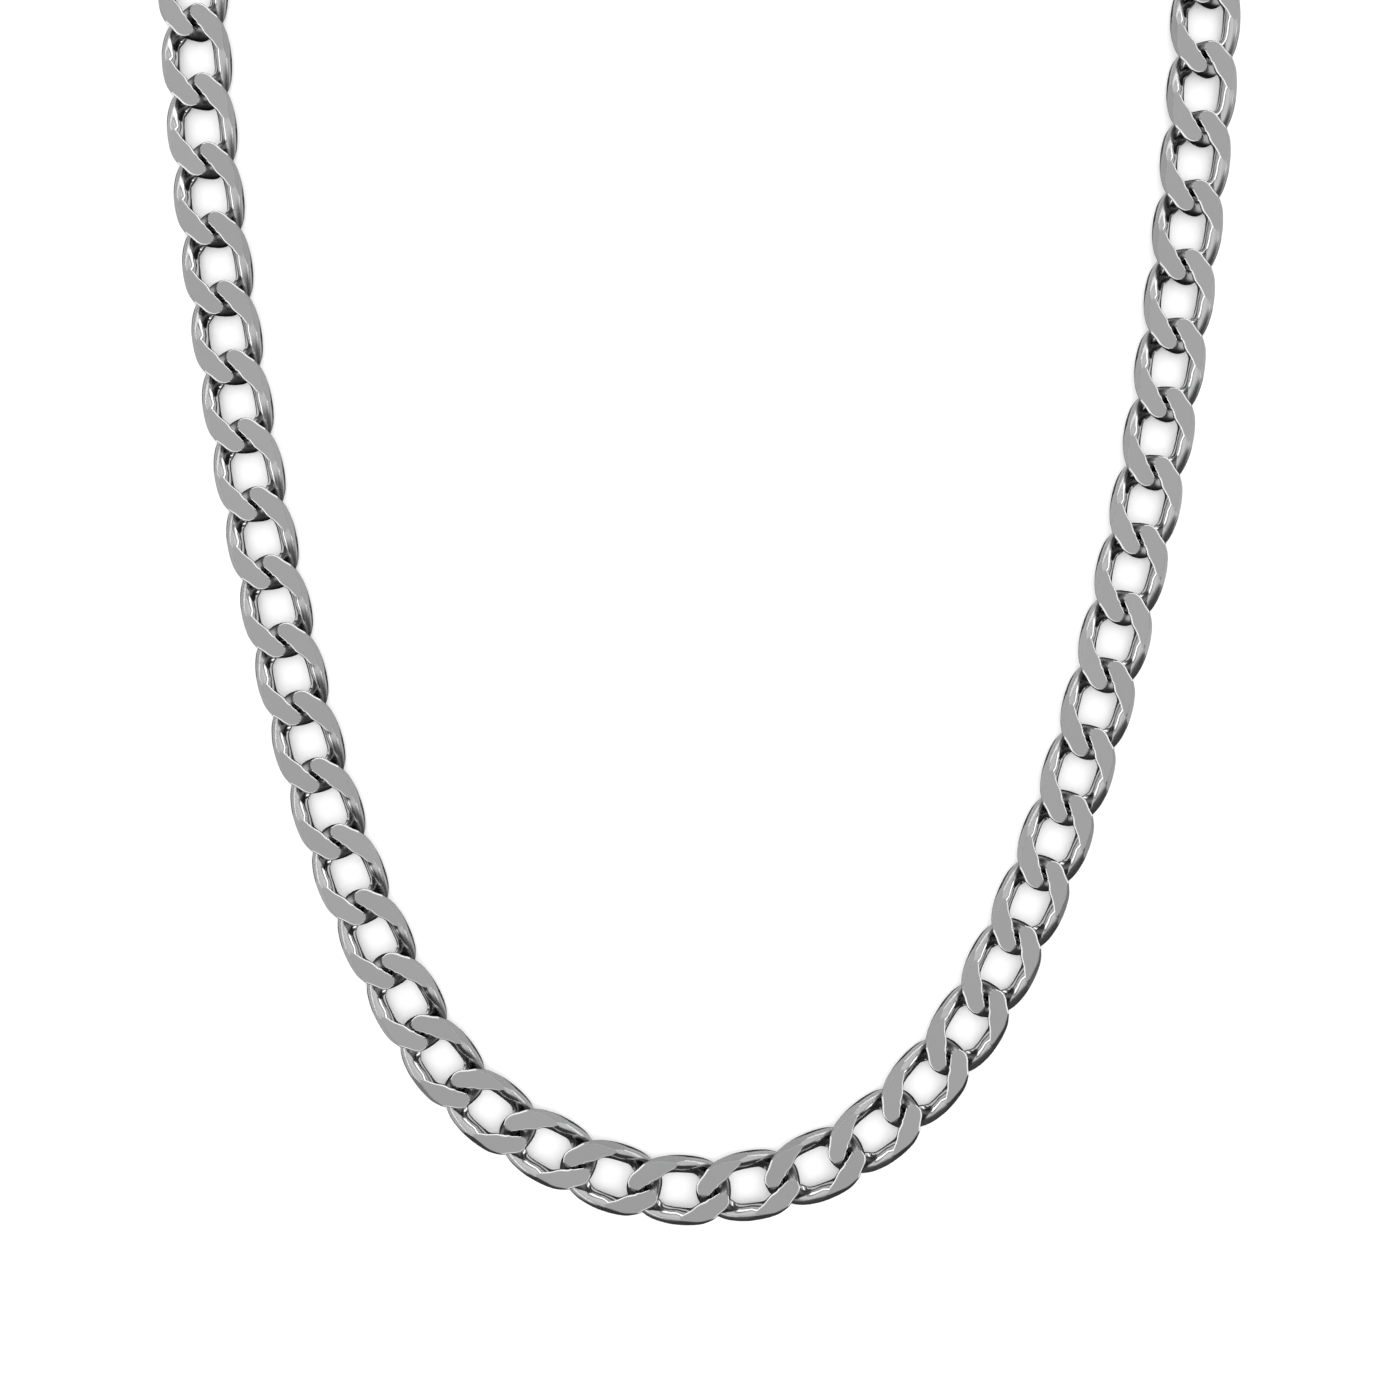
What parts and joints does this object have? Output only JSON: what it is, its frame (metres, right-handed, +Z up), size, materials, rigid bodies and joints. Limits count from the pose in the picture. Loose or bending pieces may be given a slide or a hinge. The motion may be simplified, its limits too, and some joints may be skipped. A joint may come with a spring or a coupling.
{
  "type": "curb chain necklace",
  "caption": "Flat curb chain necklace of twisted oval steel links, ground flat on both faces, faceted along the sides and joined by a plain clasp.",
  "frame": {"origin": "middle of the fastened loop's outline, on the surface that the chain lies on", "axes": "+Y from the front of the loop to the clasp, +Z up from the surface, +X to the right seen from above"},
  "size_m": [0.1248, 0.2068, 0.0032],
  "materials": {
    "chain_steel": "satin ground flats, bright edges and polished round wire",
    "clasp_steel": "plain polished steel"
  },
  "bodies": {
    "root": {"chain_front": "chain_steel", "chain_back": "chain_steel", "clasp": "clasp_steel"}
  },
  "joints": []
}
